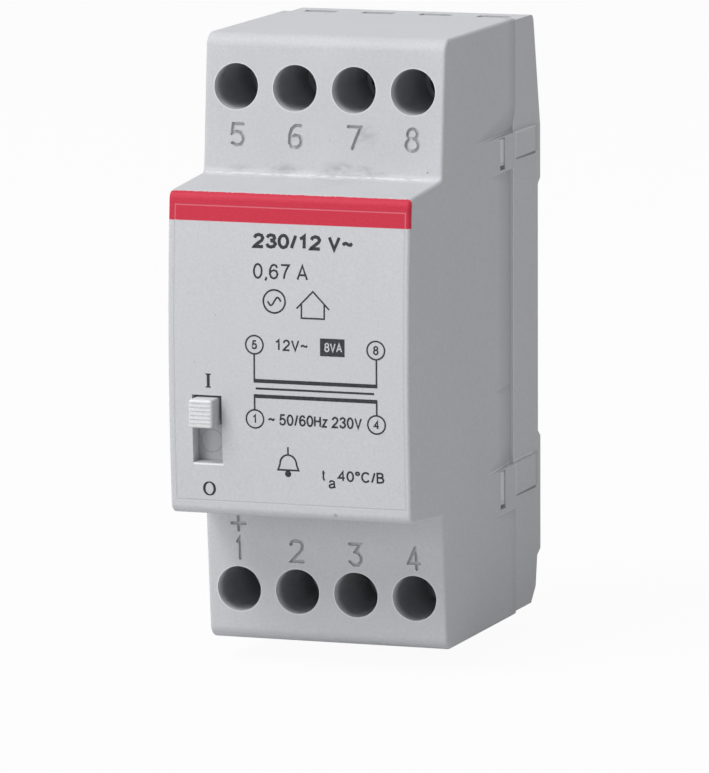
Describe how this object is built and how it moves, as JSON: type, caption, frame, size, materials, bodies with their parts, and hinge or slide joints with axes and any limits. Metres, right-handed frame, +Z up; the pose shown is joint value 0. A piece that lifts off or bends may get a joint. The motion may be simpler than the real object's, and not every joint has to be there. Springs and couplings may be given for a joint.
{
  "type": "doorbell transformer",
  "caption": "Rail-mounted bell transformer: grey stepped case with recessed screw terminals, slide switch in the nose and a laminated transformer inside.",
  "frame": {"origin": "middle of the rail seat on the back, halfway up and across", "axes": "+Y backwards into the rail, +X to the right seen from the front, +Z up"},
  "size_m": [0.035, 0.063, 0.085],
  "materials": {
    "bar_tin": "tin over brass",
    "bridge_copper": "stamped copper",
    "cage_zinc": "zinc plated, folded strip",
    "clip": "satin, black",
    "cutout_case": "shrink film over metal",
    "former": "natural, glass filled",
    "housing_front": "fine texture, light grey",
    "housing_rear": "fine texture, light grey",
    "knob": "satin, pale grey",
    "laminations": "varnished sheet steel",
    "lead_blue": "extruded insulation",
    "lead_brown": "extruded insulation",
    "lead_white": "extruded insulation",
    "magnet_wire": "enamelled copper",
    "screw_zinc": "zinc plated",
    "spring_wire": "bright drawn wire",
    "switch_brass": "stamped",
    "switch_case": "satin, dark grey",
    "tape": "clear yellow film",
    "tinned_pins": "tinned"
  },
  "bodies": {
    "housing": {"bobbin": "former", "bobbin_pins": "tinned_pins", "contact_bar_1": "bar_tin", "contact_bar_4": "bar_tin", "contact_bar_5": "bar_tin", "contact_bar_8": "bar_tin", "core_e_stack": "laminations", "core_i_stack": "laminations", "front_housing": "housing_front", "lead_line_in": "lead_brown", "lead_neutral": "lead_blue", "lead_secondary_5": "lead_white", "lead_secondary_8": "lead_white", "lead_switched": "lead_brown", "primary_tape": "tape", "primary_winding": "magnet_wire", "rail_clip_spring": "spring_wire", "rear_base": "housing_rear", "secondary_tape": "tape", "secondary_winding": "magnet_wire", "switch_body": "switch_case", "switch_contact_lower": "switch_brass", "switch_contact_upper": "switch_brass", "thermal_cutout": "cutout_case"},
    "switch_slider": {"switch_bridge": "bridge_copper", "switch_knob": "knob"},
    "clip": {"rail_clip": "clip"},
    "screw_1": {"terminal_screw_1": "screw_zinc"},
    "cage_1": {"clamp_cage_1": "cage_zinc"},
    "screw_4": {"terminal_screw_4": "screw_zinc"},
    "cage_4": {"clamp_cage_4": "cage_zinc"},
    "screw_5": {"terminal_screw_5": "screw_zinc"},
    "cage_5": {"clamp_cage_5": "cage_zinc"},
    "screw_8": {"terminal_screw_8": "screw_zinc"},
    "cage_8": {"clamp_cage_8": "cage_zinc"}
  },
  "joints": [
    {"name": "switch_slide", "type": "slide", "parent": "housing", "child": "switch_slider", "axis": [0, 0, -1], "range_m": [0, 0.0049]},
    {"name": "rail_clip_slide", "type": "slide", "parent": "housing", "child": "clip", "axis": [0, 0, -1], "range_m": [0, 0.003], "stiffness_N_per_m": 900, "springref_m": -0.002, "deforming": ["rail_clip_spring"]},
    {"name": "screw_turn_1", "type": "hinge", "parent": "housing", "child": "screw_1", "pos_m": [-0.0129, -0.02, -0.0352], "axis": [0, 1, 0], "range_deg": [0, 1800]},
    {"name": "cage_lift_1", "type": "slide", "parent": "housing", "child": "cage_1", "axis": [0, -1, 0], "range_m": [0, 0.003]},
    {"name": "screw_turn_4", "type": "hinge", "parent": "housing", "child": "screw_4", "pos_m": [0.0129, -0.02, -0.0352], "axis": [0, 1, 0], "range_deg": [0, 1800]},
    {"name": "cage_lift_4", "type": "slide", "parent": "housing", "child": "cage_4", "axis": [0, -1, 0], "range_m": [0, 0.003]},
    {"name": "screw_turn_5", "type": "hinge", "parent": "housing", "child": "screw_5", "pos_m": [-0.0129, -0.02, 0.0352], "axis": [0, 1, 0], "range_deg": [0, 1800]},
    {"name": "cage_lift_5", "type": "slide", "parent": "housing", "child": "cage_5", "axis": [0, -1, 0], "range_m": [0, 0.003]},
    {"name": "screw_turn_8", "type": "hinge", "parent": "housing", "child": "screw_8", "pos_m": [0.0129, -0.02, 0.0352], "axis": [0, 1, 0], "range_deg": [0, 1800]},
    {"name": "cage_lift_8", "type": "slide", "parent": "housing", "child": "cage_8", "axis": [0, -1, 0], "range_m": [0, 0.003]}
  ],
  "couplings": [
    {"joint": "screw_turn_1", "follows": "cage_lift_1", "rad_per_m": 10472},
    {"joint": "screw_turn_4", "follows": "cage_lift_4", "rad_per_m": 10472},
    {"joint": "screw_turn_5", "follows": "cage_lift_5", "rad_per_m": 10472},
    {"joint": "screw_turn_8", "follows": "cage_lift_8", "rad_per_m": 10472}
  ]
}
